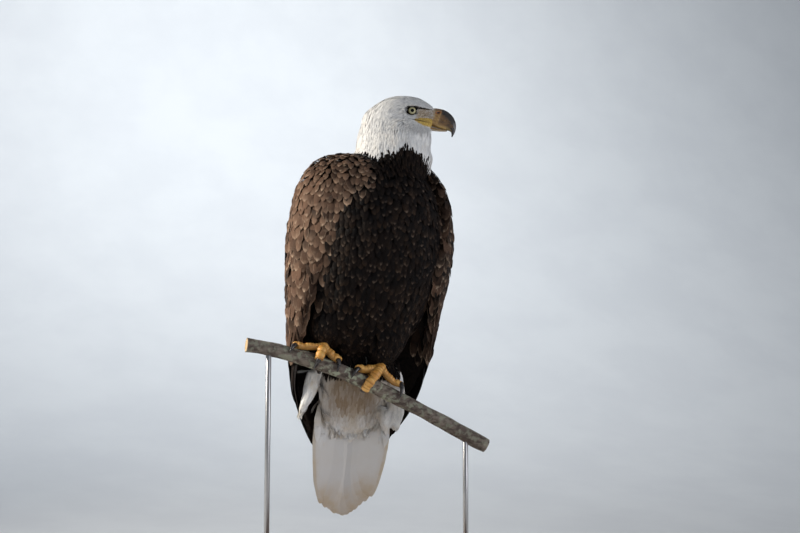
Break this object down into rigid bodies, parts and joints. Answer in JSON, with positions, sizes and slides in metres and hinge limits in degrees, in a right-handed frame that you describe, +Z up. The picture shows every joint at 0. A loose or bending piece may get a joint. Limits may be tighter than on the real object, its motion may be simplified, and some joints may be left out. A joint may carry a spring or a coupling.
{
  "type": "bald eagle, life-size still model on a display stand",
  "caption": "Adult bald eagle gripping a sloping cut branch, breast on and head turned aside, held by a flat wooden base and rods.",
  "frame": {"origin": "middle of the base's underside, on the floor", "axes": "+Z up; -Y the way the bird's breast faces; +X the bird's left, the way its bill points"},
  "size_m": [0.5, 0.4, 0.8974],
  "materials": {
    "white_plumage": "white feathers with a faint cream and grey wash, matt and soft",
    "brown_plumage": "blackish brown body feathers with small pale tips, matt",
    "wing_plumage": "warm brown wing coverts edged paler, dark flight quills with a slight sheen",
    "bill_horn": "amber horn darkening along the ridge, with a waxy olive yellow base",
    "foot_skin": "golden yellow scaly skin, slightly waxy",
    "talon_horn": "smooth black horn",
    "eye": "pale yellow iris and black pupil under a clear wet cornea",
    "bark": "rough grey brown bark with lichen and pale cut ends",
    "stand_wood": "dark oiled walnut",
    "stand_steel": "satin dark steel"
  },
  "bodies": {
    "root": {"bill_lower": "bill_horn", "bill_upper": "bill_horn", "eye_left": "eye", "eye_right": "eye", "head": "white_plumage", "neck": "white_plumage", "perch_branch": "bark", "shank_left": "foot_skin", "shank_right": "foot_skin", "stand_base": "stand_wood", "stand_flange_left": "stand_steel", "stand_flange_right": "stand_steel", "stand_rod_left": "stand_steel", "stand_rod_right": "stand_steel", "tail": "white_plumage", "talon_left_hind": "talon_horn", "talon_left_inner": "talon_horn", "talon_left_middle": "talon_horn", "talon_left_outer": "talon_horn", "talon_right_hind": "talon_horn", "talon_right_inner": "talon_horn", "talon_right_middle": "talon_horn", "talon_right_outer": "talon_horn", "thigh_left": "brown_plumage", "thigh_right": "brown_plumage", "toe_left_hind": "foot_skin", "toe_left_inner": "foot_skin", "toe_left_middle": "foot_skin", "toe_left_outer": "foot_skin", "toe_right_hind": "foot_skin", "toe_right_inner": "foot_skin", "toe_right_middle": "foot_skin", "toe_right_outer": "foot_skin", "trunk": "brown_plumage", "undertail_coverts": "white_plumage", "wing_left": "wing_plumage", "wing_right": "wing_plumage"}
  },
  "joints": []
}
